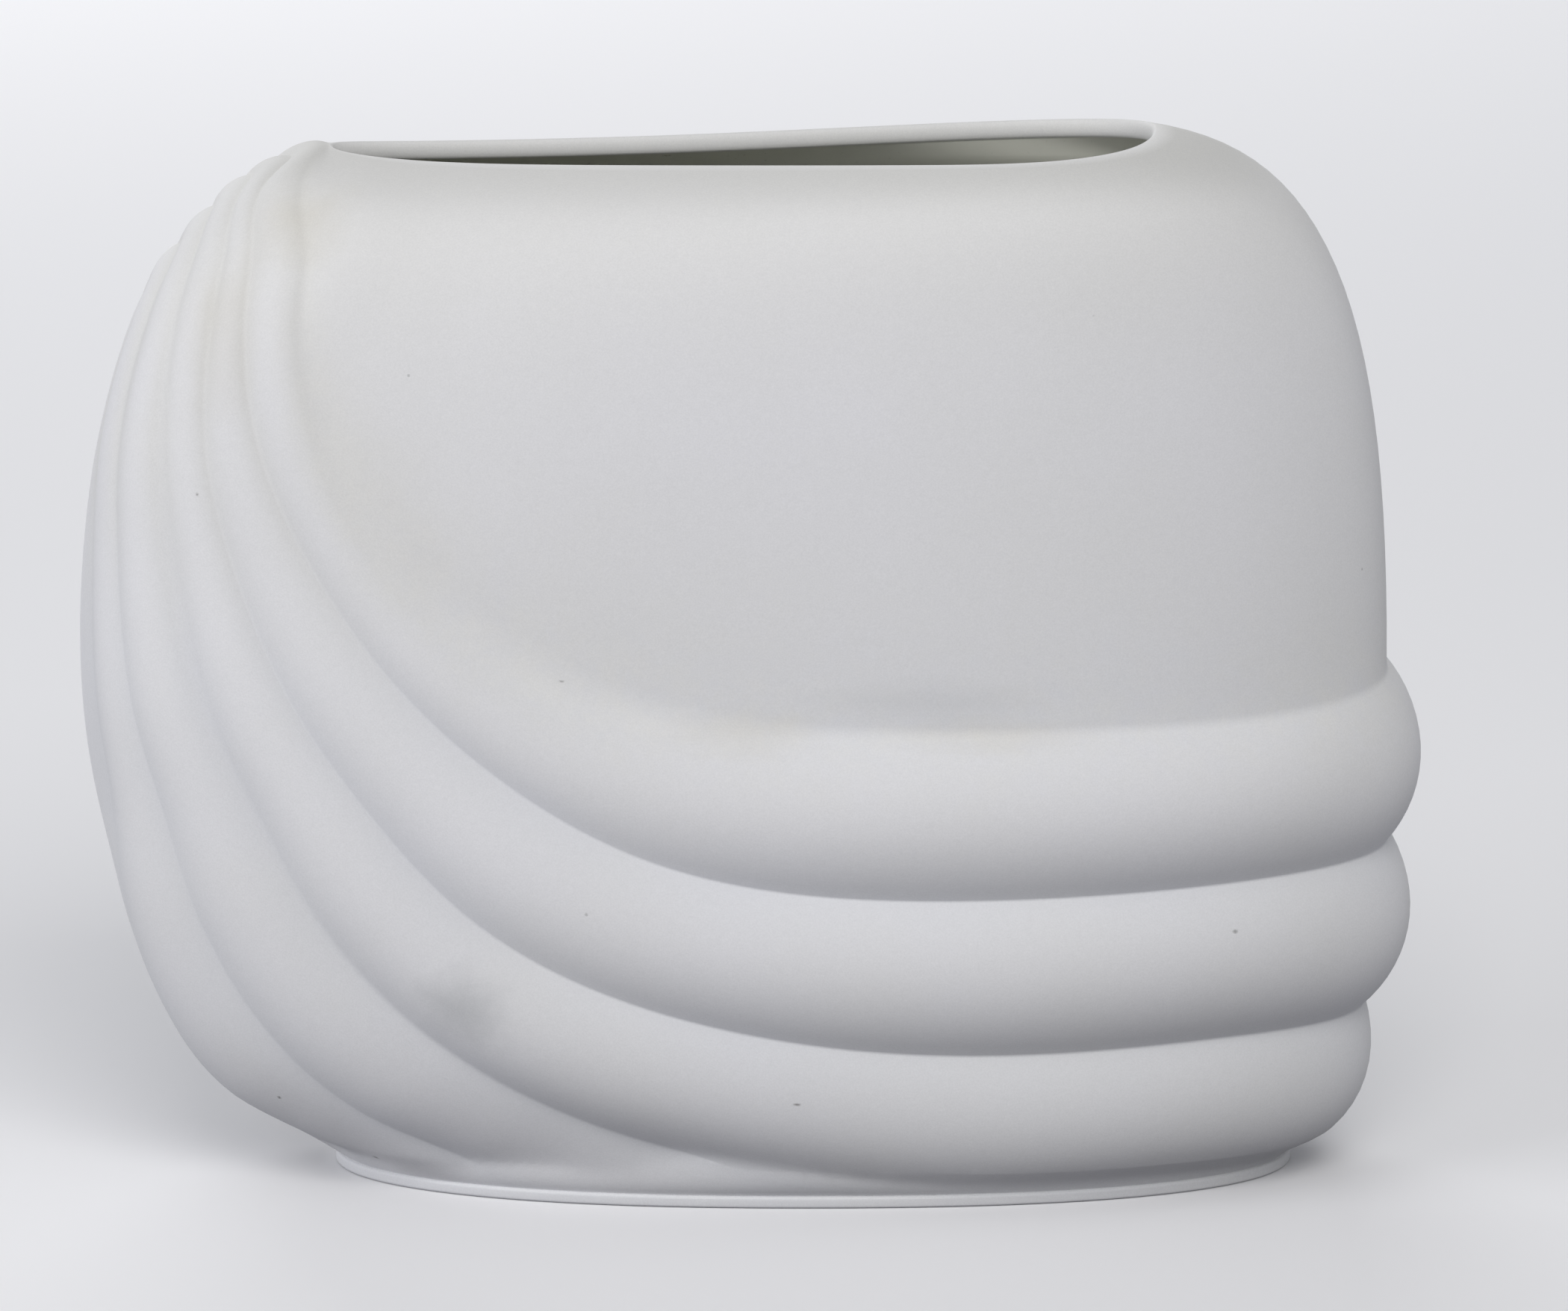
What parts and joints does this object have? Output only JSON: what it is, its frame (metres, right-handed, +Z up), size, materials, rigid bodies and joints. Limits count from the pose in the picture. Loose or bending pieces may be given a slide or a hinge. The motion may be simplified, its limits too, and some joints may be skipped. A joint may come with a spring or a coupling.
{
  "type": "flower vase",
  "caption": "Flat oval porcelain flower vase on a low foot, with a smooth panel over draped folds and a narrow teardrop mouth.",
  "frame": {"origin": "middle of the foot's underside", "axes": "+X along the vase's length towards the end with the stacked rolls, +Y away from the viewer, +Z up"},
  "size_m": [0.2864, 0.1162, 0.226],
  "materials": {
    "bisque_porcelain": "fine matte unglazed porcelain",
    "bisque_foot": "fine matte unglazed porcelain"
  },
  "bodies": {
    "root": {"vase_body": "bisque_porcelain", "foot_plinth": "bisque_foot"}
  },
  "joints": []
}
